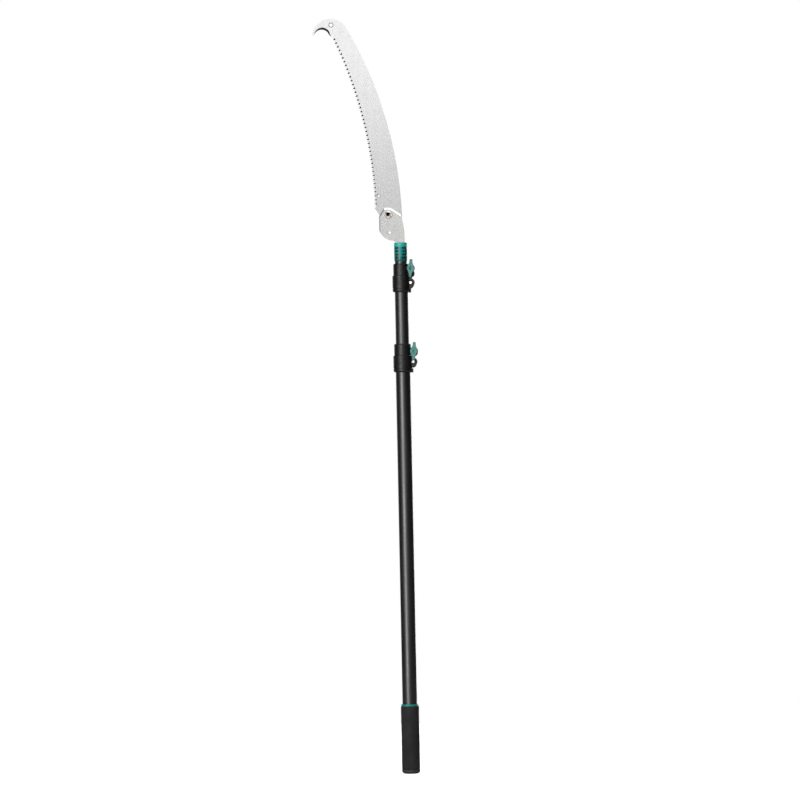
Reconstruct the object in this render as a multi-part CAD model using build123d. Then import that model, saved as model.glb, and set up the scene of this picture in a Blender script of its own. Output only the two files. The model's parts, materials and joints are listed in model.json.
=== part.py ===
"""Telescoping pole saw, in millimetres.

Frame: +Z runs up the pole's axis from the bottom of the grip, +X is the side of the clamp knobs,
and -Y is the side that the knobs and the pivot bolt head face. The saw is modelled part extended,
with the blade open.
"""
from build123d import *
import os
from math import atan2, cos, degrees, radians, sin

os.makedirs("parts", exist_ok=True)

# ---------------------------------------------------------------- driving dimensions
TUBE_WALL = 1.2
OUTER_R, MIDDLE_R, INNER_R = 16.0, 14.5, 13.0     # three tubes that nest 0.3 mm clear of each other
OUTER_Z = (3.0, 914.0)
MIDDLE_Z = (187.0, 1087.0)
INNER_Z = (260.0, 1152.0)

RUN = 0.05            # radial clearance of a turning or sliding fit

GRIP_R = 20.0
GRIP_Z = (9.0, 148.0)
GRIP_RING_R, GRIP_RING_TOP = 18.6, 152.0
CAP_ROUND = 6.5
SPIGOT_TOP = 30.0     # how far the end cap's spigot reaches up the tube

COLLAR_H = 62.0       # whole clamp collar
COLLAR_STEP = 36.0    # lower sleeve below the step, split clamp above it
COLLAR_SLIT = 0.4
LOWER_COLLAR_Z = 878.8
UPPER_COLLAR_Z = 1054.0
SLEEVE_WALL = 4.75
CLAMP_WALL = 3.9
LINER_WALL = 1.1
EAR_HALF_Y = 8.5      # half the width of the ears along the knob's axis
KNOB_EAR_R, SCREW_EAR_R = 9.2, 9.2

BOLT_R = 3.0          # M6 clamp bolt
WASHER_T = 1.2
WING_HALF_LENGTH, WING_HALF_WIDTH, WING_TIP_HALF = 19.5, 8.4, 3.1
WING_Y = (-27.0, -19.0)
KNOB_TILT = 4.0       # degrees that the tightened knobs lean towards +X

SOCKET_Z = (1121.7, 1162.5)
SOCKET_R = 14.25
SLOT_PITCH, SLOT_H, SLOT_ROWS = 7.0, 3.6, 4
SLOT_X = (2.6, 12.2)  # from the middle bar to the side bar of the slots through the socket's wall

BLADE_T = 1.6
GAP_T = 2.5           # between the side plates, the blade and one thin washer on each side of it
PLATE_T = 2.0
TOP_RIM_W, LEFT_RIM_W, RIM_DEPTH = 3.5, 2.4, 1.2     # sloping rims round the head of each side plate
RIB_R, RIB_H = 10.0, 0.12       # low ribs pressed in each side plate
PIVOT = (-24.6, 1224.1)
PIVOT_BOLT_R = 4.0
BUSHING_R = 5.5
STOP_RIVET = (-22.7, 1185.0)
STOP_RIVET_R, STOP_RIVET_BORE = 4.0, 2.6
TANG_SWEEP_R = 43.0   # how far from the pivot the blade's stop finger reaches

TOOTH_ARC_R = 930.0
TOOTH_ARC_CENTRE = (-985.1, 1223.0)
TOOTH_ARC_START, TOOTH_ARC_SPAN = 1.0, 24.04      # degrees from +X, heel to tip
TEETH = 88
TOOTH_DEPTH, TOOTH_LEAN = 4.7, 0.12               # lean towards the heel, as a share of the pitch

SCREW_ROWS = (1129.5, 1146.0)                     # heights of the two socket screws
SOCKET_SCREW_R = 2.0


# ---------------------------------------------------------------- helpers
def tube(r_out, r_in, z0, z1):
    """Hollow cylinder on the pole's axis."""
    ring = Cylinder(r_out, z1 - z0) - Cylinder(r_in, z1 - z0 + 2)
    return Pos(0, 0, (z0 + z1) / 2) * ring


def rod_z(r, z0, z1):
    return Pos(0, 0, (z0 + z1) / 2) * Cylinder(r, z1 - z0)


def rod_y(r, x, z, y0, y1):
    """Solid cylinder along Y."""
    return Pos(x, (y0 + y1) / 2, z) * Rot(90, 0, 0) * Cylinder(r, y1 - y0)


def hex_y(across_flats, x, z, y0, y1):
    """Hexagonal prism along Y."""
    hexagon = RegularPolygon(across_flats / 2, 6, major_radius=False)
    return Pos(x, y1, z) * extrude(Plane.XZ * hexagon, y1 - y0)


def slab(outline, y0, y1):
    """Solid between y0 and y1 whose outline is a face drawn as (x, z)."""
    return Pos(0, y1, 0) * extrude(Plane.XZ * outline, y1 - y0)


def block(x0, x1, y0, y1, z0, z1):
    size = Box(x1 - x0, y1 - y0, z1 - z0)
    return Pos((x0 + x1) / 2, (y0 + y1) / 2, (z0 + z1) / 2) * size


def turned(profile):
    """Solid of revolution about the pole's axis from (radius, z) points."""
    face = make_face(Polyline(*profile, close=True))
    return revolve(Plane.XZ * face, Axis.Z)


def polar(centre, radius, angle):
    """Point at an angle in degrees from +X."""
    return (centre[0] + radius * cos(radians(angle)), centre[1] + radius * sin(radians(angle)))


# ---------------------------------------------------------------- handle
def outer_tube():
    return tube(OUTER_R, OUTER_R - TUBE_WALL, *OUTER_Z)


def grip_sleeve():
    body = tube(GRIP_R, OUTER_R, *GRIP_Z)
    rims = body.edges().filter_by(GeomType.CIRCLE).filter_by(lambda e: abs(e.radius - GRIP_R) < 0.01)
    return fillet(rims, 1.0)


def grip_ring():
    body = tube(GRIP_RING_R, OUTER_R, GRIP_Z[1], GRIP_RING_TOP)
    rim = body.edges().filter_by(GeomType.CIRCLE).sort_by(SortBy.RADIUS)[-2:].sort_by(Axis.Z)[-1]
    return fillet(rim, 1.2)


def end_cap():
    """Rounded cap over the bottom of the tube, held by a ribbed spigot inside it."""
    bore_r = OUTER_R - TUBE_WALL
    body = rod_z(GRIP_R, 0, GRIP_Z[0])
    rim = body.edges().filter_by(GeomType.CIRCLE).sort_by(Axis.Z)[0]
    body = fillet(rim, CAP_ROUND)
    body -= tube(OUTER_R, bore_r, OUTER_Z[0], GRIP_Z[0] + 1)
    for angle in range(0, 360, 60):
        rib = Rot(0, 0, angle) * block(0, bore_r + 1, -1.2, 1.2, GRIP_Z[0] - 1, SPIGOT_TOP)
        body += rib & rod_z(bore_r, 0, SPIGOT_TOP)
    return body + rod_z(6.0, GRIP_Z[0] - 1, SPIGOT_TOP)


# ---------------------------------------------------------------- clamp collars
def collar(base, low_r, high_r, knob, screw, ear_drop):
    """Sleeve on the lower tube with a split clamp for the upper tube on top of it."""
    knob_x, knob_z = knob
    screw_x, screw_z = screw
    sleeve_r, clamp_r = low_r + SLEEVE_WALL, high_r + CLAMP_WALL
    profile = [(0, 0), (sleeve_r - 2.4, 0), (sleeve_r, 3.0), (sleeve_r, 7.0), (sleeve_r - 0.9, 7.4),
               (sleeve_r - 0.9, 8.4), (sleeve_r, 8.8)]
    for height in range(15, 32, 4):
        profile += [(sleeve_r, height), (sleeve_r - 0.35, height + 0.4), (sleeve_r, height + 0.8)]
    profile += [(sleeve_r, COLLAR_STEP - 0.8), (sleeve_r - 0.8, COLLAR_STEP), (clamp_r, COLLAR_STEP)]
    profile += [(clamp_r, COLLAR_H - 1.6), (clamp_r - 1.6, COLLAR_H), (0, COLLAR_H)]
    body = turned(profile)

    body += rod_y(SCREW_EAR_R, screw_x, screw_z, -EAR_HALF_Y, EAR_HALF_Y)
    body += rod_y(SCREW_EAR_R - 1.0, screw_x - 0.7, screw_z - 4.8, -EAR_HALF_Y, EAR_HALF_Y)
    body += rod_y(KNOB_EAR_R, knob_x, knob_z, -EAR_HALF_Y, EAR_HALF_Y)
    body += rod_y(KNOB_EAR_R - 0.2, knob_x - 0.3, knob_z - ear_drop, -EAR_HALF_Y, EAR_HALF_Y)
    body += block(0, screw_x + 3.5, -EAR_HALF_Y, EAR_HALF_Y, screw_z, knob_z + 6)
    body += block(0, sleeve_r + 2.0, -4, 4, -1, 8)

    body -= rod_z(low_r, -2, COLLAR_STEP - 0.8)
    body -= rod_z(high_r + LINER_WALL, 0, COLLAR_H + 1)
    body -= block(0, knob_x + 20, -1.1, 1.1, -2, COLLAR_H + 1)
    body -= block(-6, knob_x + 20, -30, 30, COLLAR_STEP, COLLAR_STEP + COLLAR_SLIT)

    body -= rod_y(2.05, screw_x, screw_z, -10, 10)
    body -= rod_y(5.0, screw_x, screw_z, -10, -5.4)
    body -= hex_y(7.1, screw_x, screw_z, 5.0, 10)
    body -= rod_y(BOLT_R + 0.1, knob_x, knob_z, -10, 10)
    body -= hex_y(10.1, knob_x, knob_z, 5.0, 10)
    return Pos(0, 0, base) * body


def clamp_liner(base, high_r):
    """Thin split sleeve that grips the sliding tube."""
    body = tube(high_r + LINER_WALL, high_r + RUN, COLLAR_STEP + COLLAR_SLIT, COLLAR_H)
    body -= block(0, high_r + 5, -1.1, 1.1, 0, COLLAR_H + 1)
    return Pos(0, 0, base) * body


def fixing_screw(x, z):
    """M4 screw that clamps the sleeve on the lower tube; its head sits in the ring-shaped ear."""
    head = rod_y(3.7, x, z, -8.3, -5.4)
    head = chamfer(head.edges().filter_by(GeomType.CIRCLE).sort_by(Axis.Y)[0], 0.8)
    body = head + rod_y(2.0, x, z, -5.4, 8.3)
    return body - hex_y(3.0, x, z, -8.4, -6.4)


def fixing_nut(x, z):
    return hex_y(7.0, x, z, 5.0, 8.2) - rod_y(2.0, x, z, 4, 9)


def clamp_bolt(x, z):
    """M6 bolt from the rear ear through both ears; the knob runs on its front end."""
    return hex_y(10.0, x, z, 5.0, 9.0) + rod_y(BOLT_R, x, z, -17.0, 5.5)


def knob_washer(x, z):
    front = -EAR_HALF_Y - 0.1
    return rod_y(6.0, x, z, front - WASHER_T, front) - rod_y(BOLT_R + RUN, x, z, -12, -8)


def wing_outline():
    """Four-cornered leaf: two long narrow wings that swell to the hub."""
    long, wide, tip = WING_HALF_LENGTH, WING_HALF_WIDTH, WING_TIP_HALF
    corner = [(tip, long), (tip + 0.3, long * 0.62), (wide, 1.4)]
    right = corner + [(x, -z) for x, z in reversed(corner)]
    left = [(-x, -z) for x, z in right]
    return make_face(Polyline(*right, *left, close=True))


def wing_knob(x, z):
    """Wing nut with bevelled wings and a deep diamond-shaped recess in the middle of its face."""
    hub_back = -EAR_HALF_Y - 0.1 - WASHER_T - RUN
    wings = slab(wing_outline(), *WING_Y)
    wings = fillet(wings.edges().filter_by(Axis.Y), 1.1)
    face = wings.faces().sort_by(Axis.Y)[0]
    wings = chamfer(face.edges(), 1.0, 2.2, reference=face)
    diamond = make_face(Polyline((3.4, 0), (0, 6.0), (-3.4, 0), (0, -6.0), close=True))
    wings -= slab(diamond, WING_Y[0] - 1, WING_Y[0] + 4.5)
    body = Pos(x, 0, z) * Rot(0, KNOB_TILT, 0) * wings
    body += rod_y(6.6, x, z, WING_Y[1] - 1, hub_back)
    body -= rod_y(4.6, x, z, WING_Y[1], hub_back + 1)
    return body


def knob_insert(x, z):
    """Threaded brass bush moulded into the knob."""
    back = -EAR_HALF_Y - 0.1 - WASHER_T - RUN
    return rod_y(4.6, x, z, WING_Y[1], back) - rod_y(BOLT_R + RUN, x, z, -20, -9)


# ---------------------------------------------------------------- sliding tubes
def guide_bush(tube_bottom, head_r, spigot_r, bore_r):
    """Plastic bush at the bottom of a sliding tube: its head runs in the tube outside it."""
    body = rod_z(head_r - RUN, tube_bottom - 6, tube_bottom - RUN)
    body = chamfer(body.edges().filter_by(GeomType.CIRCLE), 0.6)
    body += rod_z(spigot_r - RUN, tube_bottom - 1, tube_bottom + 18)
    return body - rod_z(bore_r, tube_bottom - 7, tube_bottom + 19)


def middle_tube():
    return tube(MIDDLE_R, MIDDLE_R - TUBE_WALL, *MIDDLE_Z)


def screw_holes(r):
    """Both socket screws' holes, as one cutter."""
    return Part() + [rod_y(r, 0, z, -20, 20) for z in SCREW_ROWS]


def inner_tube():
    body = tube(INNER_R, INNER_R - TUBE_WALL, *INNER_Z)
    return body - [rod_y(SOCKET_SCREW_R + 0.1, 0, z, 0, 20) for z in SCREW_ROWS]


# ---------------------------------------------------------------- saw head
TANG_X = (-11.0, 9.4)
TANG_BOTTOM = 1116.0


def plate_outline():
    """Side plate: broad head round the pivot, narrowing to the tang that goes into the tube."""
    edges = [
        ThreePointArc((-34.4, 1238.1), (-24.7, 1239.4), (-14.9, 1235.7)),
        Line((-14.9, 1235.7), (1.5, 1224.4)),
        ThreePointArc((1.5, 1224.4), (8.2, 1194.7), (TANG_X[1], 1166.0)),
        Polyline((TANG_X[1], 1166.0), (TANG_X[1], TANG_BOTTOM), (TANG_X[0], TANG_BOTTOM),
                 (TANG_X[0], 1163.5), (-14.1, 1166.8)),
        ThreePointArc((-14.1, 1166.8), (-34.8, 1174.5), (-45.8, 1190.0)),
        Polyline((-45.8, 1190.0), (-45.8, 1220.6), (-34.4, 1238.1)),
    ]
    return make_face(edges)


def side_plate(side):
    """side is -1 for the plate that carries the bolt's head and +1 for the rear plate."""
    near, far = side * GAP_T / 2, side * (GAP_T / 2 + PLATE_T)
    body = slab(plate_outline(), min(near, far), max(near, far))
    for width, left, right in ((TOP_RIM_W, -30, 3), (LEFT_RIM_W, -50, -30)):
        outside = body.faces().sort_by(Axis.Y)[0 if side < 0 else -1]
        rim = outside.edges().filter_by(lambda e: left < e.center().X < right and e.center().Z > 1195)
        body = chamfer(rim, width, RIM_DEPTH, reference=outside)
    centre = far - side * (RIB_R - RIB_H)
    skin = block(-60, 20, *sorted((far - side * 0.5, far + side * 2)), 1150, 1240)
    for x, z0, z1 in ((-39.6, 1191.0, 1207.0), (STOP_RIVET[0] + 0.4, 1173.5, 1178.5)):
        rib = Pos(x, centre, (z0 + z1) / 2) * Cylinder(RIB_R, z1 - z0)
        rib += Pos(x, centre, z0) * Sphere(RIB_R) + Pos(x, centre, z1) * Sphere(RIB_R)
        body += rib & skin
    body -= rod_y(PIVOT_BOLT_R, *PIVOT, -9, 9)
    body -= rod_y(STOP_RIVET_R, *STOP_RIVET, -9, 9)
    return body - screw_holes(SOCKET_SCREW_R + 0.1)


def tang_spacer():
    """Fills the gap between the plates below the arc that the blade's stop finger sweeps."""
    body = slab(plate_outline(), -GAP_T / 2, GAP_T / 2)
    body = body & block(-28.0, TANG_X[1], -5, 5, TANG_BOTTOM, 1230)
    body -= rod_y(TANG_SWEEP_R + 0.5, *PIVOT, -5, 5)
    return body - screw_holes(SOCKET_SCREW_R + 0.1)


def tang_core():
    """Plastic core that centres the tang in the inner tube."""
    half = GAP_T / 2 + PLATE_T
    body = rod_z(INNER_R - TUBE_WALL, TANG_BOTTOM - 4, INNER_Z[1])
    body -= block(*TANG_X, -half, half, TANG_BOTTOM, INNER_Z[1] + 1)
    body -= [rod_y(SOCKET_SCREW_R + 0.1, 0, z, -3, 20) for z in SCREW_ROWS]
    return body - [rod_y(SOCKET_SCREW_R - 0.2, 0, z, -9, 0) for z in SCREW_ROWS]


def head_socket():
    """Slotted ferrule over the top of the inner tube, closed round the plates."""
    z0, z1 = SOCKET_Z
    half = GAP_T / 2 + PLATE_T
    body = turned([(0, z0), (INNER_R + 0.2, z0), (SOCKET_R, z0 + 2.8), (SOCKET_R, z1 - 1.2),
                   (SOCKET_R - 1.2, z1), (0, z1)])
    body -= rod_z(INNER_R, z0 - 1, INNER_Z[1])
    body -= block(*TANG_X, -half, half, INNER_Z[1] - 1, z1 + 1)
    window = block(*SLOT_X, -20, 20, z0, z1) + block(-SLOT_X[1], -SLOT_X[0], -20, 20, z0, z1)
    for row in range(SLOT_ROWS):
        middle = SCREW_ROWS[0] + row * SLOT_PITCH
        band = tube(SOCKET_R + 1, INNER_R - 0.5, middle - SLOT_H / 2, middle + SLOT_H / 2)
        body -= band & window
    return body - [rod_y(SOCKET_SCREW_R + 0.1, 0, z, 0, 20) for z in SCREW_ROWS]


def socket_screws():
    """Two screws from the rear through socket, tube and tang into the core."""
    screws = Part()
    for z in SCREW_ROWS:
        head = rod_y(3.4, 0, z, SOCKET_R, SOCKET_R + 2.0)
        head = fillet(head.edges().filter_by(GeomType.CIRCLE).sort_by(Axis.Y)[-1], 1.2)
        shank = rod_y(SOCKET_SCREW_R, 0, z, -3, SOCKET_R)
        tip = rod_y(SOCKET_SCREW_R - 0.2, 0, z, -8, -3)
        slot = block(-2.0, 2.0, SOCKET_R + 1.0, SOCKET_R + 3, z - 0.4, z + 0.4)
        screws += head + shank + tip - slot
    return screws


def stop_rivet():
    """Hollow rivet between the plates; the blade's finger rests against it when open."""
    half = GAP_T / 2 + PLATE_T
    body = rod_y(STOP_RIVET_R, *STOP_RIVET, -half, half)
    for y0, y1 in ((-half - 0.7, -half), (half, half + 0.7)):
        body += rod_y(STOP_RIVET_R + 1.2, *STOP_RIVET, y0, y1)
    return body - rod_y(STOP_RIVET_BORE, *STOP_RIVET, -9, 9)


def pivot_bolt():
    """M8 bolt with a low round head, dished round a hex recess."""
    half = GAP_T / 2 + PLATE_T
    head = rod_y(8.5, *PIVOT, -half - 3.4, -half)
    head = fillet(head.edges().filter_by(GeomType.CIRCLE).sort_by(Axis.Y)[0], 2.4)
    body = head + rod_y(PIVOT_BOLT_R, *PIVOT, -half, half + 9.0)
    x, z = PIVOT
    body -= Pos(x, -half - 2.5, z) * Rot(90, 0, 0) * Cone(3.0, 5.4, 2.0)
    return body - hex_y(5.0, x, z, -half - 4, -half + 1.0)


def ring_y(r_out, r_in, y0, y1):
    return rod_y(r_out, *PIVOT, y0, y1) - rod_y(r_in, *PIVOT, y0 - 1, y1 + 1)


def pivot_bushing():
    return ring_y(BUSHING_R, PIVOT_BOLT_R, -GAP_T / 2, GAP_T / 2)


def pivot_washers():
    """One thin washer between the blade and each plate."""
    inner = BLADE_T / 2 + RUN
    front = ring_y(9.0, BUSHING_R, -GAP_T / 2, -inner)
    return Part() + [front, ring_y(9.0, BUSHING_R, inner, GAP_T / 2)]


def nut_washer():
    half = GAP_T / 2 + PLATE_T
    return ring_y(8.0, PIVOT_BOLT_R, half, half + 1.2)


def pivot_nut():
    """Lock nut with a nylon collar."""
    start = GAP_T / 2 + PLATE_T + 1.2
    body = hex_y(13.0, *PIVOT, start, start + 5.5) + rod_y(5.6, *PIVOT, start + 5, start + 7.4)
    return body - rod_y(PIVOT_BOLT_R, *PIVOT, start - 1, start + 9)


# ---------------------------------------------------------------- blade
HEEL = (-55.2, 1239.2)
THROAT_START, THROAT_TOP, THROAT_END = (-179.6, 1621.4), (-163.0, 1632.3), (-147.2, 1621.0)


def tooth_points():
    """Tips and gullets from the heel to the tip; each tip leans towards the heel."""
    pitch = TOOTH_ARC_SPAN / TEETH
    points = []
    for index in range(TEETH):
        angle = TOOTH_ARC_START + index * pitch
        points.append(polar(TOOTH_ARC_CENTRE, TOOTH_ARC_R, angle))
        gullet = angle + (0.5 + TOOTH_LEAN) * pitch
        points.append(polar(TOOTH_ARC_CENTRE, TOOTH_ARC_R + TOOTH_DEPTH, gullet))
    points.append(polar(TOOTH_ARC_CENTRE, TOOTH_ARC_R, TOOTH_ARC_START + TOOTH_ARC_SPAN))
    return points


def blade_outline():
    teeth = tooth_points()
    root_r = 29.8
    back = (4.5, 1230.5)
    back_angle = degrees(atan2(back[1] - PIVOT[1], back[0] - PIVOT[0]))
    finger_right = polar(PIVOT, root_r, -50)
    finger_left_x = STOP_RIVET[0] + STOP_RIVET_R + 0.15
    reach = TANG_SWEEP_R
    finger_foot = (finger_left_x, PIVOT[1] - (reach**2 - (finger_left_x - PIVOT[0])**2)**0.5 + 0.1)
    finger_corner = polar(PIVOT, reach - 0.1, -66)
    edges = [
        Polyline(*teeth, THROAT_END),
        ThreePointArc(THROAT_END, THROAT_TOP, THROAT_START),
        ThreePointArc(THROAT_START, (-182.9, 1619.9), (-183.9, 1623.5)),
        ThreePointArc((-183.9, 1623.5), (-167.0, 1648.6), (-140.3, 1656.2)),
        ThreePointArc((-140.3, 1656.2), (-124.5, 1650.5), (-111.0, 1638.5)),
        RadiusArc((-111.0, 1638.5), back, 885.0),
        ThreePointArc(back, polar(PIVOT, root_r, (back_angle - 50) / 2), finger_right),
        Polyline(finger_right, finger_corner, finger_foot, (finger_left_x, 1204.0), (-38.5, 1214.9),
                 teeth[0]),
    ]
    return make_face(edges)


def blade():
    body = slab(blade_outline(), -BLADE_T / 2, BLADE_T / 2)
    bevel_height = BLADE_T * 0.8
    bevel = Rot(90, 0, 0) * Cone(13.0, 20.6, bevel_height)
    body -= Pos(-159.6, -BLADE_T / 2 + bevel_height / 2 - 0.01, 1618.0) * bevel
    body -= rod_y(4.0, -142.4, 1642.0, -5, 5)
    body -= rod_y(2.75, -45.2, 1266.3, -5, 5)
    return body - rod_y(BUSHING_R + RUN, *PIVOT, -5, 5)


# ---------------------------------------------------------------- the whole saw
# knob and screw are (x, height above the collar's bottom edge)
LOWER_LOCK = {"base": LOWER_COLLAR_Z, "low_r": OUTER_R, "high_r": MIDDLE_R,
              "knob": (24.5, 45.6), "screw": (22.7, 22.5), "ear_drop": 3.0}
UPPER_LOCK = {"base": UPPER_COLLAR_Z, "low_r": MIDDLE_R, "high_r": INNER_R,
              "knob": (21.0, 51.8), "screw": (20.3, 20.6), "ear_drop": 11.5}


def lock_parts(name, base, low_r, high_r, knob, screw, ear_drop):
    knob_at = (knob[0], base + knob[1])
    screw_at = (screw[0], base + screw[1])
    return {
        f"{name}_collar": collar(base, low_r, high_r, knob, screw, ear_drop),
        f"{name}_clamp_liner": clamp_liner(base, high_r),
        f"{name}_collar_screw": fixing_screw(*screw_at),
        f"{name}_collar_nut": fixing_nut(*screw_at),
        f"{name}_clamp_bolt": clamp_bolt(*knob_at),
        f"{name}_knob_washer": knob_washer(*knob_at),
        f"{name}_knob": wing_knob(*knob_at),
        f"{name}_knob_insert": knob_insert(*knob_at),
    }


parts = {
    "outer_tube": outer_tube(),
    "grip_sleeve": grip_sleeve(),
    "grip_ring": grip_ring(),
    "end_cap": end_cap(),
    **lock_parts("lower", **LOWER_LOCK),
    "middle_guide_bush": guide_bush(MIDDLE_Z[0], OUTER_R - TUBE_WALL, MIDDLE_R - TUBE_WALL, 10.5),
    "middle_tube": middle_tube(),
    **lock_parts("upper", **UPPER_LOCK),
    "inner_guide_bush": guide_bush(INNER_Z[0], MIDDLE_R - TUBE_WALL, INNER_R - TUBE_WALL, 9.0),
    "inner_tube": inner_tube(),
    "head_socket": head_socket(),
    "tang_core": tang_core(),
    "socket_screws": socket_screws(),
    "front_side_plate": side_plate(-1),
    "rear_side_plate": side_plate(1),
    "tang_spacer": tang_spacer(),
    "stop_rivet": stop_rivet(),
    "pivot_bolt": pivot_bolt(),
    "pivot_bushing": pivot_bushing(),
    "pivot_washers": pivot_washers(),
    "nut_washer": nut_washer(),
    "pivot_nut": pivot_nut(),
    "blade": blade(),
}

for name, shape in parts.items():
    export_step(shape, f"parts/{name}.step")
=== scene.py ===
"""Looks of the telescoping pole saw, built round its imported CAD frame. Metres, +Z up the pole, -Y front."""
import json
import math
import random

import bmesh
import bpy
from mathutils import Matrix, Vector
from mathutils.geometry import delaunay_2d_cdt

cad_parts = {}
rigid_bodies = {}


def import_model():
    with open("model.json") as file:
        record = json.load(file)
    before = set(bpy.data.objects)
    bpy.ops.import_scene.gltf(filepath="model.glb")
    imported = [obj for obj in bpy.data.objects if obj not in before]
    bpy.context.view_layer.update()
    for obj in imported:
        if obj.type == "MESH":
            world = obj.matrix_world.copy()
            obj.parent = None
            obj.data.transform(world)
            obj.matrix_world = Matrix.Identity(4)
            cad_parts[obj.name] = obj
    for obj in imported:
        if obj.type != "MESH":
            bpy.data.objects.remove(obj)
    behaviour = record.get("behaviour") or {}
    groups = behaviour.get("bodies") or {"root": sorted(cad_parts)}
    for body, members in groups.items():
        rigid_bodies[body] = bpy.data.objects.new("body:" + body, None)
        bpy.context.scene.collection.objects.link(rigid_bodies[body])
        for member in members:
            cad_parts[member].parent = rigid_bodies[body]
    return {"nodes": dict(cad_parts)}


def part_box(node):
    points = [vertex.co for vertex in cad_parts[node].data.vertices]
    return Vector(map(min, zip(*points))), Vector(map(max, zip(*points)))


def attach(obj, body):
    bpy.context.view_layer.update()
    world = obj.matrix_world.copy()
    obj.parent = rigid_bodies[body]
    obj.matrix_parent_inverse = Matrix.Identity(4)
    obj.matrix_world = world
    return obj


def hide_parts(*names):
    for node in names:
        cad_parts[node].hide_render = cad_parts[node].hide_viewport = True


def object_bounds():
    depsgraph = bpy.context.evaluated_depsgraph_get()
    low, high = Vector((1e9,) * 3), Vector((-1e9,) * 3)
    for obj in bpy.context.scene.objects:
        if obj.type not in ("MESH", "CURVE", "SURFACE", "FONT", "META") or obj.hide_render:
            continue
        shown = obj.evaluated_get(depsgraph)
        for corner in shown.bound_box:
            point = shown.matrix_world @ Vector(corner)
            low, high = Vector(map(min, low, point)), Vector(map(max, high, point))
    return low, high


MM = 0.001

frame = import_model()
cad_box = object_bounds()
NODES = frame["nodes"]


# ---------------------------------------------------------------- node helpers
class Shader:
    """A Principled material and the few node chains that the looks below are made of."""

    def __init__(self, name, colour, roughness, metallic=0.0, ior=1.5):
        self.material = bpy.data.materials.new(name)
        self.material.use_nodes = True
        self.tree = self.material.node_tree
        self.bsdf = self.tree.nodes["Principled BSDF"]
        self.bsdf.inputs["Base Color"].default_value = (*colour, 1)
        self.bsdf.inputs["Roughness"].default_value = roughness
        self.bsdf.inputs["Metallic"].default_value = metallic
        self.bsdf.inputs["IOR"].default_value = ior
        self.colour = colour
        self.coords = self.tree.nodes.new("ShaderNodeTexCoord").outputs["Object"]

    def node(self, kind, **settings):
        made = self.tree.nodes.new(kind)
        for key, value in settings.items():
            setattr(made, key, value)
        return made

    def link(self, source, target):
        self.tree.links.new(source, target)

    def noise(self, scale, stretch=(1, 1, 1), detail=4.0, rough=0.6, turn=0.0):
        """Noise in object space. stretch below 1 on an axis draws the pattern out along it."""
        mapping = self.node("ShaderNodeMapping")
        mapping.inputs["Scale"].default_value = stretch
        mapping.inputs["Rotation"].default_value = (0, math.radians(turn), 0)
        self.link(self.coords, mapping.inputs["Vector"])
        texture = self.node("ShaderNodeTexNoise")
        texture.inputs["Scale"].default_value = scale
        texture.inputs["Detail"].default_value = detail
        texture.inputs["Roughness"].default_value = rough
        self.link(mapping.outputs["Vector"], texture.inputs["Vector"])
        return texture.outputs["Fac"]

    def cells(self, scale):
        """Distance to the nearest of many scattered points, for pits and grains."""
        texture = self.node("ShaderNodeTexVoronoi", feature="F1")
        texture.inputs["Scale"].default_value = scale
        self.link(self.coords, texture.inputs["Vector"])
        return texture.outputs["Distance"]

    def ramp(self, value, low, high, out_low=0.0, out_high=1.0):
        """Maps low..high to out_low..out_high, held flat outside."""
        mapped = self.node("ShaderNodeMapRange")
        mapped.inputs["From Min"].default_value = low
        mapped.inputs["From Max"].default_value = high
        mapped.inputs["To Min"].default_value = out_low
        mapped.inputs["To Max"].default_value = out_high
        self.link(value, mapped.inputs["Value"])
        return mapped.outputs["Result"]

    def math(self, operation, a, b):
        made = self.node("ShaderNodeMath", operation=operation)
        for socket, value in zip(made.inputs, (a, b)):
            if isinstance(value, (int, float)):
                socket.default_value = value
            else:
                self.link(value, socket)
        return made.outputs["Value"]

    def axis(self, name):
        """One of the object coordinates, X, Y or Z."""
        split = self.node("ShaderNodeSeparateXYZ")
        self.link(self.coords, split.inputs["Vector"])
        return split.outputs[name]

    def near(self, point, inner, outer):
        """1 within the inner distance of a point, fading to 0 at the outer one."""
        gap = self.node("ShaderNodeVectorMath", operation="DISTANCE")
        gap.inputs[1].default_value = point
        self.link(self.coords, gap.inputs[0])
        return self.ramp(gap.outputs["Value"], inner, outer, 1.0, 0.0)

    def edge_mask(self, radius):
        """1 on edges of the mesh, 0 on its flat stretches."""
        bevel = self.node("ShaderNodeBevel", samples=4)
        bevel.inputs["Radius"].default_value = radius
        flat = self.node("ShaderNodeNewGeometry").outputs["Normal"]
        dot = self.node("ShaderNodeVectorMath", operation="DOT_PRODUCT")
        self.link(bevel.outputs["Normal"], dot.inputs[0])
        self.link(flat, dot.inputs[1])
        return self.ramp(dot.outputs["Value"], 0.985, 0.85)

    def tint(self, mask, other):
        """Mixes the colour so far towards other where mask is 1."""
        mixed = self.node("ShaderNodeMix", data_type="RGBA")
        self.link(mask, mixed.inputs["Factor"])
        first, second, result = mixed.inputs[6], mixed.inputs[7], mixed.outputs[2]    # its colour sockets
        if isinstance(self.colour, tuple):
            first.default_value = (*self.colour, 1)
        else:
            self.link(self.colour, first)
        second.default_value = (*other, 1)
        self.colour = result
        self.link(self.colour, self.bsdf.inputs["Base Color"])

    def roughen(self, value):
        self.link(value, self.bsdf.inputs["Roughness"])

    def bump(self, height, distance, strength=1.0, rounded=None):
        """Relief from a height pattern, distance metres deep. rounded softens the mesh's sharp edges."""
        made = self.node("ShaderNodeBump")
        made.inputs["Distance"].default_value = distance
        made.inputs["Strength"].default_value = strength
        self.link(height, made.inputs["Height"])
        if rounded:
            bevel = self.node("ShaderNodeBevel", samples=4)
            bevel.inputs["Radius"].default_value = rounded
            self.link(bevel.outputs["Normal"], made.inputs["Normal"])
        self.link(made.outputs["Normal"], self.bsdf.inputs["Normal"])


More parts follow.
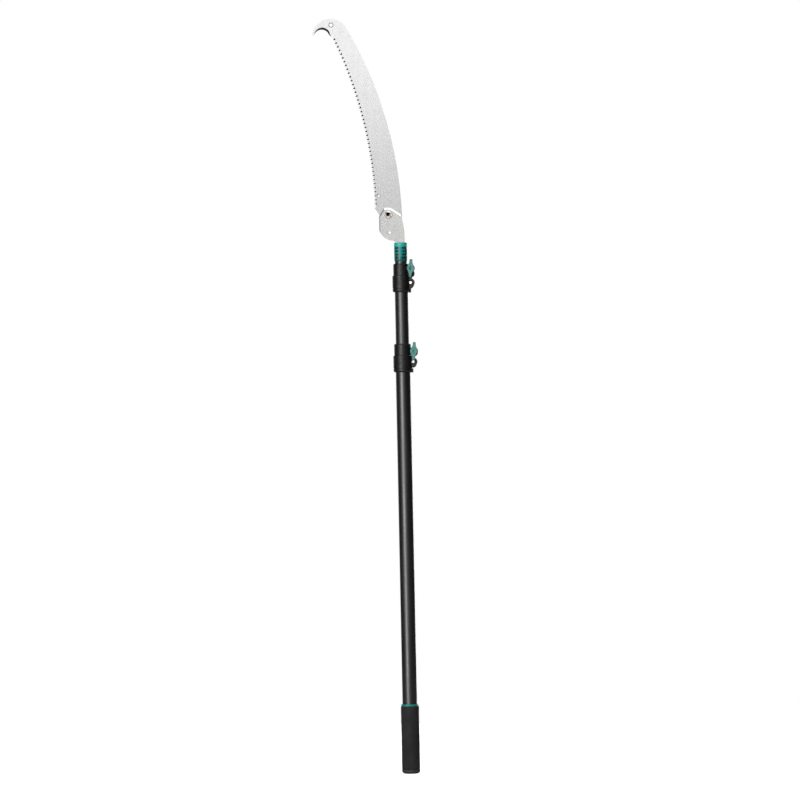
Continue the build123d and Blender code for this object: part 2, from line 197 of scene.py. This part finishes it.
# ---------------------------------------------------------------- materials
def pole_coating():
    """Semi-gloss black coat with faint lengthwise rubs from sliding."""
    look = Shader("pole_coating", (0.0006, 0.0006, 0.0007), 0.43, ior=1.7)
    mottle = look.noise(60, (1, 1, 0.3), 5)
    look.tint(look.ramp(mottle, 0.35, 0.75), (0.0018, 0.0018, 0.002))
    rubs = look.ramp(look.noise(900, (1, 1, 0.006), 3), 0.62, 0.75)
    look.tint(look.math("MULTIPLY", rubs, 0.3), (0.02, 0.02, 0.022))
    rough = look.ramp(look.noise(25, (1, 1, 0.2), 6), 0.3, 0.7, 0.38, 0.48)
    look.roughen(look.math("ADD", rough, look.math("MULTIPLY", rubs, 0.12)))
    look.bump(look.noise(1400, (1, 1, 0.5), 2), 0.00002, 0.4)
    return look.material


def foam():
    """Closed-cell foam: matte and finely pitted, a little smoother in blotches."""
    look = Shader("grip_foam", (0.009, 0.009, 0.0098), 0.85, ior=1.4)
    blotch = look.noise(45, (1, 1, 0.5), 5)
    look.tint(look.ramp(blotch, 0.35, 0.7), (0.015, 0.015, 0.0165))
    pits = look.cells(1600)
    fine = look.noise(2600, (1, 1, 1), 3)
    look.tint(look.ramp(pits, 0.05, 0.35, 0.6, 0.0), (0.008, 0.008, 0.009))
    look.roughen(look.ramp(blotch, 0.3, 0.7, 0.9, 0.72))
    look.bump(look.math("ADD", look.math("MULTIPLY", pits, 0.7), fine), 0.00022, 0.55)
    return look.material


def rubber():
    """Dark soft rubber with grey dust in patches."""
    look = Shader("cap_rubber", (0.02, 0.02, 0.022), 0.7, ior=1.5)
    look.tint(look.ramp(look.noise(90, detail=5), 0.4, 0.7), (0.034, 0.034, 0.036))
    dust = look.ramp(look.noise(400, detail=4), 0.6, 0.78)
    look.tint(look.math("MULTIPLY", dust, 0.3), (0.11, 0.105, 0.1))
    look.roughen(look.ramp(look.noise(150), 0.3, 0.7, 0.6, 0.8))
    look.bump(look.noise(1800), 0.00006, 0.5, rounded=0.0006)
    return look.material


def teal(name, colour, dark, roughness, painted_bands=()):
    """Moulded plastic with a fine grain and paler, rubbed edges. The bands given are painted shade and
    highlight along the height, as (from z, to z, colour).
    """
    look = Shader(name, colour, roughness, ior=1.4)
    look.tint(look.ramp(look.noise(130, detail=5), 0.35, 0.7), dark)
    # Painted shade and highlight bands, each faded in along the height.
    for low, high, change in painted_bands:
        look.tint(look.ramp(look.axis("Z"), low, high), change)
    rubbed = look.math("MULTIPLY", look.edge_mask(0.0007), look.ramp(look.noise(500), 0.35, 0.6))
    pale = tuple(min(1.0, c * 1.5 + 0.04) for c in colour)
    look.tint(look.math("MULTIPLY", rubbed, 0.6), pale)
    look.roughen(look.ramp(look.noise(220), 0.3, 0.7, roughness - 0.06, roughness + 0.08))
    look.bump(look.noise(2400, detail=2), 0.00003, 0.4, rounded=0.0004)
    return look.material


def socket_painted_light():
    """Painted shade at the socket's lower end, by the collar, and a painted highlight along its rim, as (from
    z, to z, colour).
    """
    low, high = (corner[2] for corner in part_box("head_socket"))
    # Painted shade, darker towards the socket's lower end.
    painted_shade = (low + 18 * MM, low + 2 * MM, (0.0, 0.07, 0.06))
    # Painted highlight, paler towards the socket's upper rim.
    painted_rim_highlight = (high - 12 * MM, high - 5 * MM, (0.015, 0.34, 0.3))
    return painted_shade, painted_rim_highlight


def collar_plastic():
    """Glass-filled nylon: black, spark-eroded grain, edges worn a little grey."""
    look = Shader("collar_plastic", (0.002, 0.002, 0.0022), 0.42, ior=1.42)
    look.tint(look.ramp(look.noise(110, detail=6), 0.35, 0.7), (0.0045, 0.0045, 0.005))
    worn = look.math("MULTIPLY", look.edge_mask(0.0008), look.ramp(look.noise(600), 0.4, 0.65))
    look.tint(look.math("MULTIPLY", worn, 0.4), (0.04, 0.04, 0.041))
    look.roughen(look.ramp(look.noise(300), 0.3, 0.7, 0.38, 0.54))
    grain = look.math("ADD", look.cells(2200), look.noise(3000, detail=2))
    look.bump(grain, 0.00008, 0.5, rounded=0.0005)
    return look.material


def steel(name, colour, roughness, along=(1, 1, 0.02), turn=0.0, spots=0.12, rounded=0.0003):
    """Brushed steel. along draws the brushing out, and turn leans it, in degrees about Y."""
    look = Shader(name, colour, roughness, metallic=1.0)
    fine = look.noise(2600, along, 4, 0.7, turn)
    broad = look.noise(240, along, 5, 0.6, turn)
    darker = tuple(c * 0.72 for c in colour)
    look.tint(look.ramp(broad, 0.35, 0.7, 0.0, 0.18), darker)
    look.tint(look.ramp(fine, 0.3, 0.75, 0.2, 0.0), darker)
    cloud = look.ramp(look.noise(38, detail=6), 0.52, 0.75)
    look.tint(look.math("MULTIPLY", cloud, spots), tuple(c * 0.6 for c in colour))
    rough = look.ramp(fine, 0.3, 0.7, roughness - 0.04, roughness + 0.06)
    look.roughen(look.math("ADD", rough, look.math("MULTIPLY", cloud, 0.04)))
    look.bump(look.math("ADD", fine, broad), 0.00002, 0.6, rounded=rounded)
    return look.material


def ground_edge():
    """Ground tooth faces: dark towards the tip, paler towards the heel."""
    look = Shader("ground_edge", (0.045, 0.047, 0.052), 0.35, metallic=1.0)
    scratches = look.noise(2600, (0.05, 1, 1), 4, 0.7)
    look.tint(look.ramp(scratches, 0.3, 0.75, 0.3, 0.0), (0.03, 0.031, 0.035))
    # Heights between which the tooth faces turn from pale, at the heel, to dark.
    pale_below, dark_above = 1.30, 1.46
    look.tint(look.ramp(look.axis("Z"), pale_below, dark_above, 0.9, 0.0), (0.3, 0.305, 0.3))
    look.roughen(look.ramp(scratches, 0.3, 0.7, 0.31, 0.41))
    look.bump(scratches, 0.00003, 0.6)
    return look.material


def bolt_bright():
    """Bright pivot bolt with painted shade, a near-black patch in the dish of its head, a little off its
    axis.
    """
    low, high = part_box("pivot_bolt")
    axis_x, axis_z = (low[0] + high[0]) / 2, (low[2] + high[2]) / 2
    # Painted shade: centre of the near-black patch in the dish of the head.
    painted_recess_shade = (axis_x - 1.9 * MM, -4.7 * MM, axis_z + 0.9 * MM)
    look = Shader("bolt_bright", (0.92, 0.87, 0.84), 0.28, metallic=1.0)
    look.tint(look.ramp(look.noise(300, detail=5), 0.4, 0.65), (0.8, 0.68, 0.64))
    look.roughen(look.ramp(look.noise(1500, detail=3), 0.4, 0.7, 0.25, 0.4))
    look.tint(look.near(painted_recess_shade, 4.4 * MM, 5.2 * MM), (0.01, 0.008, 0.007))
    look.bump(look.noise(900), 0.00003, 0.4, rounded=0.0003)
    return look.material


def brass():
    """Bright brass, browner in patches and dulled by scuffs."""
    look = Shader("brass", (0.72, 0.54, 0.24), 0.3, metallic=1.0)
    look.tint(look.ramp(look.noise(300, detail=5), 0.4, 0.65), (0.55, 0.38, 0.15))
    scuffs = look.ramp(look.noise(1500, (1, 1, 0.2), 3), 0.6, 0.72)
    look.roughen(look.ramp(scuffs, 0, 1, 0.3, 0.55))
    look.bump(look.noise(900), 0.00003, 0.4, rounded=0.0003)
    return look.material


def liner_plastic():
    """Grey plastic of the clamp liners, guide bushes and tang core."""
    look = Shader("liner_plastic", (0.3, 0.3, 0.29), 0.45, ior=1.48)
    look.tint(look.ramp(look.noise(140), 0.4, 0.7), (0.2, 0.2, 0.195))
    look.roughen(look.ramp(look.noise(350), 0.3, 0.7, 0.38, 0.55))
    look.bump(look.noise(1500), 0.00004, 0.4, rounded=0.0003)
    return look.material


POLE = pole_coating()
FOAM = foam()
RUBBER = rubber()
DEEP_TEAL, DARK_TEAL = (0.0, 0.22, 0.19), (0.0, 0.14, 0.125)
TEAL_HEAD = teal("teal_head", DEEP_TEAL, DARK_TEAL, 0.4, socket_painted_light())
TEAL_RING = teal("teal_ring", DEEP_TEAL, DARK_TEAL, 0.4)
TEAL_KNOB = teal("teal_knob", (0.07, 0.225, 0.2), (0.045, 0.17, 0.15), 0.42)
COLLAR = collar_plastic()
LINER = liner_plastic()
BLADE = steel("blade_steel", (0.605, 0.609, 0.607), 0.25, turn=-12, rounded=None)
GROUND = ground_edge()
PLATE = steel("plate_steel", (0.64, 0.645, 0.625), 0.26, (1, 1, 0.03), rounded=0.00012)
ZINC = steel("zinc_steel", (0.86, 0.865, 0.87), 0.38, (1, 1, 1), spots=0.3)
BOLT = bolt_bright()
BRASS = brass()


# ---------------------------------------------------------------- mesh helpers
def add_piece(name, shape, body, *materials):
    """Turns a finished bmesh into a piece that rides on the given body."""
    mesh = bpy.data.meshes.new(name)
    shape.to_mesh(mesh)
    shape.free()
    for material in materials:
        mesh.materials.append(material)
    piece = bpy.data.objects.new(name, mesh)
    bpy.context.collection.objects.link(piece)
    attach(piece, body)
    return piece


def lathe(profile, steps=128):
    """Turns a closed outline of (radius, z) points about the pole's axis into a smooth mesh."""
    shape = bmesh.new()
    rings = []
    for step in range(steps):
        angle = 2 * math.pi * step / steps
        c, s = math.cos(angle), math.sin(angle)
        rings.append([shape.verts.new((r * c, r * s, z)) for r, z in profile])
    for step in range(steps):
        here, there = rings[step], rings[(step + 1) % steps]
        for k in range(len(profile)):
            j = (k + 1) % len(profile)
            shape.faces.new((here[k], there[k], there[j], here[j]))
    bmesh.ops.recalc_face_normals(shape, faces=shape.faces)
    for face in shape.faces:
        face.smooth = True
    return shape


def smooth_by_angle(mesh, degrees):
    """Smooth faces, with the edges sharper than the given angle kept crisp."""
    shape = bmesh.new()
    shape.from_mesh(mesh)
    for face in shape.faces:
        face.smooth = True
    for edge in shape.edges:
        if len(edge.link_faces) == 2:
            edge.smooth = edge.calc_face_angle() < math.radians(degrees)
    shape.to_mesh(mesh)
    shape.free()


# ---------------------------------------------------------------- tubes
def tube_piece(node, body):
    """Smooth tube in place of the CAD's faceted one, with broken edges at both ends."""
    wall, lip, rows = 1.2 * MM, 0.4 * MM, 24
    low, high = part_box(node)
    r, z0, z1 = (high[0] - low[0]) / 2, low[2], high[2]
    inner = r - wall
    profile = [(inner, z0 + lip), (inner + lip * 0.5, z0), (r - lip, z0), (r, z0 + lip)]
    profile += [(r, z0 + (z1 - z0) * k / rows) for k in range(1, rows)]
    profile += [(r, z1 - lip), (r - lip, z1), (inner + lip * 0.5, z1), (inner, z1 - lip)]
    piece = add_piece(node + "_shell", lathe(profile), body, POLE)
    smooth_by_angle(piece.data, 40)
    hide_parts(node)


# ---------------------------------------------------------------- grip
def grip_piece():
    """Foam sleeve with rounded ends and faint uneven swells."""
    low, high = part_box("grip_sleeve")
    r, z0, z1 = (high[0] - low[0]) / 2, low[2], high[2]
    tube_low, tube_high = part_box("outer_tube")
    bore = (tube_high[0] - tube_low[0]) / 2 + 0.02 * MM
    rim = 2.2 * MM
    quarter = [math.radians(degrees) for degrees in range(0, 91, 15)]
    bottom = [(r - rim * (1 - math.sin(a)), z0 + rim * (1 - math.cos(a))) for a in quarter]
    steps = 60
    middle = [(r, z0 + rim + (z1 - z0 - 2 * rim) * k / steps) for k in range(1, steps)]
    top = [(r - rim * (1 - math.cos(a)), z1 - rim * (1 - math.sin(a))) for a in quarter]
    shape = lathe([(bore, z0)] + bottom + middle + top + [(bore, z1)], steps=144)
    rng = random.Random(5)
    phases = [rng.uniform(0, 6.28) for _ in range(3)]
    for vert in shape.verts:
        radius = math.hypot(vert.co.x, vert.co.y)
        if radius < bore + 1 * MM:
            continue
        turn = math.atan2(vert.co.y, vert.co.x)
        along = (vert.co.z - z0) / (z1 - z0)
        # The 0.22 is the three heights added up, so that no swell rises past the CAD sleeve.
        swell = 0.10 * math.sin(9 * along + phases[0] + turn)
        swell += 0.07 * math.sin(23 * along + 2 * turn + phases[1])
        swell += 0.05 * math.sin(41 * along - 3 * turn + phases[2]) - 0.22
        grown = (radius + swell * MM) / radius
        vert.co.x *= grown
        vert.co.y *= grown
    piece = add_piece("grip_foam", shape, "handle", FOAM)
    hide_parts("grip_sleeve")


# ---------------------------------------------------------------- blade
def rear_outline(node):
    """Loops of (x, z) points round the rear face of a CAD plate, the largest first."""
    shape = bmesh.new()
    shape.from_mesh(NODES[node].data)
    bmesh.ops.remove_doubles(shape, verts=shape.verts, dist=1e-6)
    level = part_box(node)[1][1]
    flat = {f for f in shape.faces if all(abs(v.co.y - level) < 1e-6 for v in f.verts)}
    rim = [e for e in shape.edges if sum(f in flat for f in e.link_faces) == 1]
    onward = {}
    for edge in rim:
        for a, b in (edge.verts, reversed(edge.verts)):
            onward.setdefault(a, []).append(b)
    loops, left = [], set(onward)
    while left:
        start = min(left, key=lambda v: (v.co.x, v.co.z))
        loop, previous, vert = [], None, start
        while vert in left:
            left.discard(vert)
            loop.append((vert.co.x, vert.co.z))
            ahead = [w for w in onward[vert] if w is not previous and w in left]
            previous, vert = vert, ahead[0] if ahead else None
        loops.append(loop)
    shape.free()
    loops.sort(key=lambda loop: -loop_span(loop))
    return loops


def loop_span(loop):
    """Width and height of a loop of (x, z) points, added up."""
    return sum(max(values) - min(values) for values in zip(*loop))


def signed_area(loop):
    """Area of a loop of (x, z) points, positive when it runs counter-clockwise."""
    return sum(a[0] * b[1] - b[0] * a[1] for a, b in zip(loop, loop[1:] + loop[:1])) / 2


def tooth_tips(loop):
    """True for the points of a counter-clockwise outline that are tips: sharp, between short edges."""
    shortest, longest, sharp = 2 * MM, 8 * MM, 0.9
    tips = []
    for i, here in enumerate(loop):
        before, after = loop[i - 1], loop[(i + 1) % len(loop)]
        ax, az = here[0] - before[0], here[1] - before[1]
        bx, bz = after[0] - here[0], after[1] - here[1]
        turn = math.atan2(ax * bz - az * bx, ax * bx + az * bz)
        short = all(shortest < math.hypot(*edge) < longest for edge in ((ax, az), (bx, bz)))
        tips.append(short and turn >= sharp)
    return tips


def fill_flat(shape, loops):
    """Fills the flat face inside the first loop of vertices, outside the others, which are convex."""
    verts = [vert for loop in loops for vert in loop]
    owner = [number for number, loop in enumerate(loops) for _ in loop]
    edges, start = [], 0
    for loop in loops:
        edges += [(start + i, start + (i + 1) % len(loop)) for i in range(len(loop))]
        start += len(loop)
    flat = [Vector((vert.co.x, vert.co.z)) for vert in verts]
    _, _, triangles, sources, _, _ = delaunay_2d_cdt(flat, edges, [], 1, 1e-9)
    for triangle in triangles:
        corners = [sources[corner][0] for corner in triangle]
        owners = {owner[corner] for corner in corners}
        if owners == {0} or len(owners) > 1:
            shape.faces.new([verts[corner] for corner in corners])


def grow(loop, extra):
    """A round loop of (x, z) points made larger by extra all round."""
    cx = sum(x for x, _ in loop) / len(loop)
    cz = sum(z for _, z in loop) / len(loop)
    grown = []
    for x, z in loop:
        away = math.hypot(x - cx, z - cz)
        grown.append((x + extra * (x - cx) / away, z + extra * (z - cz) / away))
    return grown


def hook_bevel(x, z, hook):
    """Where the sharpened inner edge of the hook meets the blade's front face. hook is its centre."""
    radius, reach, widest = 17.5 * MM, 1.6 * MM, 5.6 * MM
    away_x, away_z = x - hook[0], z - hook[1]
    away = math.hypot(away_x, away_z)
    turn = math.atan2(away_z, away_x)
    if abs(away - radius) > reach or turn < 0:
        return x, z
    width = widest * max(0.0, math.sin(turn / 0.9)) ** 0.8 * (1 - 0.8 * (turn / math.pi) ** 2)
    return x + away_x / away * width, z + away_z / away * width


def blade_piece():
    """The blade with alternately ground teeth, a sharpened hook and countersunk holes."""
    ground_past, sunk, front_flare, back_flare = 0.3, 0.5 * MM, 1.3 * MM, 0.4 * MM
    low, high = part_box("blade")
    front, back = low[1], high[1]
    outline, *holes = rear_outline("blade")
    if signed_area(outline) < 0:
        outline = outline[::-1]
    tips = tooth_tips(outline)
    hook = (low[0] + 20.6 * MM, high[2] - 41.2 * MM)    # centre of the hook's inner curve
    face_line, tooth = {front: [], back: []}, 0
    for i, (x, z) in enumerate(outline):
        place = {front: hook_bevel(x, z, hook), back: (x, z)}
        if tips[i]:
            before, after = outline[i - 1], outline[(i + 1) % len(outline)]
            ground = front if tooth % 2 else back
            place[ground] = tuple((1 + ground_past) * (a + b) / 2 - ground_past * c
                                  for a, b, c in zip(before, after, (x, z)))
            tooth += 1
        for level in place:
            face_line[level].append(place[level])
    shape = bmesh.new()

    def ring(points, level):
        return [shape.verts.new((x, level, z)) for x, z in points]

    def wall(one, other, material_index):
        for i in range(len(one)):
            j = (i + 1) % len(one)
            for corners in ((one[i], one[j], other[j]), (one[i], other[j], other[i])):
                shape.faces.new(corners).material_index = material_index

    rims = {level: [ring(face_line[level], level)] for level in (front, back)}
    wall(rims[front][0], rims[back][0], 1)
    for hole in holes:
        loops = [ring(grow(hole, front_flare), front), ring(hole, front + sunk),
                 ring(hole, back - sunk), ring(grow(hole, back_flare), back)]
        for one, other in zip(loops, loops[1:]):
            wall(one, other, 1)
        rims[front].append(loops[0])
        rims[back].append(loops[-1])
    for level in (front, back):
        fill_flat(shape, rims[level])
    bmesh.ops.recalc_face_normals(shape, faces=shape.faces)
    piece = add_piece("blade_ground", shape, "blade_body", BLADE, GROUND)
    smooth_by_angle(piece.data, 8)
    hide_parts("blade")


# ---------------------------------------------------------------- what stays CAD, with better materials
def dress(material, *nodes):
    """Puts one material on the whole of each named CAD node."""
    for name in nodes:
        mesh = NODES[name].data
        mesh.materials.clear()
        mesh.materials.append(material)


def dress_cad():
    dress(RUBBER, "end_cap")
    dress(TEAL_HEAD, "head_socket")
    dress(TEAL_RING, "grip_ring")
    dress(TEAL_KNOB, "lower_knob", "upper_knob")
    dress(COLLAR, "lower_collar", "upper_collar")
    dress(LINER, "lower_clamp_liner", "upper_clamp_liner", "middle_guide_bush", "inner_guide_bush",
          "tang_core")
    dress(BRASS, "lower_knob_insert", "upper_knob_insert", "pivot_washers", "pivot_bushing")
    dress(PLATE, "front_side_plate", "rear_side_plate", "tang_spacer", "stop_rivet")
    dress(ZINC, "lower_collar_screw", "upper_collar_screw", "lower_collar_nut", "upper_collar_nut",
          "lower_clamp_bolt", "upper_clamp_bolt", "lower_knob_washer", "upper_knob_washer",
          "socket_screws", "nut_washer", "pivot_nut")
    dress(BOLT, "pivot_bolt")


# ---------------------------------------------------------------- stage, light and camera
STEEL_NODES = ("front_side_plate", "rear_side_plate", "tang_spacer", "stop_rivet", "pivot_bolt",
               "pivot_nut", "nut_washer", "pivot_washers", "socket_screws")
RECEIVERS = {kind: bpy.data.collections.new(kind + "_pieces") for kind in ("steel", "dark")}
SEEN_WHITE, REFLECTED_WHITE = 1.0, 0.03    # strength of the floor and the world


def area_light(name, place, aim, width, height, power, on=None):
    """A soft box, unseen itself. on keeps it to the steel pieces or to the dark ones, as flags would."""
    light = bpy.data.lights.new(name, "AREA")
    light.shape = "RECTANGLE"
    light.size, light.size_y = width, height
    light.energy = power
    holder = bpy.data.objects.new(name, light)
    holder.location = place
    holder.rotation_euler = (Vector(aim) - Vector(place)).to_track_quat("-Z", "Y").to_euler()
    holder.visible_camera = False
    if on:
        holder.light_linking.receiver_collection = RECEIVERS[on]
    bpy.context.collection.objects.link(holder)


def seen_or_reflected(tree):
    """A strength that is full for the camera and faint in what lights the object."""
    path = tree.nodes.new("ShaderNodeLightPath")
    level = tree.nodes.new("ShaderNodeMapRange")
    level.inputs["To Min"].default_value = REFLECTED_WHITE
    level.inputs["To Max"].default_value = SEEN_WHITE
    tree.links.new(path.outputs["Is Camera Ray"], level.inputs["Value"])
    return level.outputs["Result"]


def floor():
    """Pale floor that the camera sees as plain white, with no shadow on it."""
    bpy.ops.mesh.primitive_plane_add(size=3, location=(0, 0, cad_box[0][2] - 0.5 * MM))
    plane = bpy.context.object
    plane.name = "floor"
    look = Shader("floor_white", (0.5, 0.5, 0.5), 0.9, ior=1.3)
    look.bsdf.inputs["Emission Color"].default_value = (1, 1, 1, 1)
    look.link(seen_or_reflected(look.tree), look.bsdf.inputs["Emission Strength"])
    plane.data.materials.append(look.material)


def world():
    """White behind the object, dimmer in its reflections."""
    made = bpy.data.worlds.new("studio")
    bpy.context.scene.world = made
    made.use_nodes = True
    background = made.node_tree.nodes["Background"]
    background.inputs["Color"].default_value = (1, 1, 1, 1)
    made.node_tree.links.new(seen_or_reflected(made.node_tree), background.inputs["Strength"])


def lights():
    """Hard keys for the dark pieces, softer boxes for the steel, and fills that fall on both."""
    key_place = (-1.45, -2.95, 0.7)
    area_light("key_left", key_place, (0, 0, 0.7), 1.0, 2.5, 116, "dark")
    area_light("key_soft", key_place, (0, 0, 0.7), 1.4, 2.5, 13, "steel")
    area_light("front_fill", (0.0, -3.0, 0.75), (0, 0, 0.75), 1.0, 1.9, 4.5)
    area_light("front_high", (0.0, -2.6, 1.93), (0, 0, 1.5), 1.5, 0.65, 4.1)
    area_light("steel_low", (0.0, -3.0, 1.12), (0, 0, 1.12), 1.2, 0.5, 8.0, "steel")
    area_light("steel_high", (0.0, -2.6, 2.4), (0, 0, 1.6), 1.5, 1.7, 2.6, "steel")
    area_light("rear_key", (0.9, 3.2, 0.8), (0, 0, 0.8), 1.0, 2.5, 60, "dark")
    area_light("rear_fill", (0.0, 3.0, 0.9), (0, 0, 0.9), 1.0, 2.2, 5)
    area_light("rear_left", (-2.2, 2.6, 1.8), (0, 0, 0.9), 0.9, 2.4, 14, "dark")
    area_light("rear_right", (2.4, 2.2, 2.2), (0, 0, 0.9), 0.9, 2.4, 14, "dark")
    area_light("top", (0, 0, 4.2), (0, 0, 0), 3.0, 3.0, 30)
    area_light("high_front", (0.42, -3.4, 3.9), (0, 0, 1.23), 3.6, 1.7, 55)
    steel_wrap()


def steel_wrap():
    """Tall boxes round the steel alone, mostly 34 degrees apart, with the front left open."""
    distance, middle_z, width, height = 3.2, 1.6, 1.8, 3.2
    front_left, dim, full = -52, 5, 12
    for azimuth in (front_left, *range(50, 310, 34)):
        angle = math.radians(azimuth - 90)
        place = (distance * math.cos(angle), distance * math.sin(angle), middle_z)
        power = dim if azimuth == front_left else full
        area_light("wrap", place, (0, 0, middle_z), width, height, power, "steel")


def share_lights():
    """Sorts every piece for the lights that fall only on steel or only on the rest."""
    steel = {"blade_ground"} | {NODES[name].name for name in STEEL_NODES}
    for piece in bpy.context.scene.objects:
        if piece.type == "MESH":
            RECEIVERS["steel" if piece.name in steel else "dark"].objects.link(piece)


def camera():
    """Long lens, level with the middle of the saw and rolled so that the pole leans a little."""
    lens, sensor = 200.0, 36.0
    view_height = 1.752
    aim_x, aim_z = -0.008, 0.818
    roll = math.radians(1.17)
    data = bpy.data.cameras.new("camera")
    data.lens, data.sensor_width = lens, sensor
    data.clip_end = 100
    holder = bpy.data.objects.new("camera", data)
    holder.location = (aim_x, -view_height * lens / sensor, aim_z)
    holder.rotation_euler = (math.pi / 2, roll, 0)
    bpy.context.collection.objects.link(holder)
    bpy.context.scene.camera = holder
    bpy.context.scene.view_settings.view_transform = "Standard"


camera()
world()
lights()
floor()
dress_cad()
tube_piece("outer_tube", "handle")
tube_piece("middle_tube", "middle_section")
tube_piece("inner_tube", "top_section")
grip_piece()
blade_piece()
share_lights()
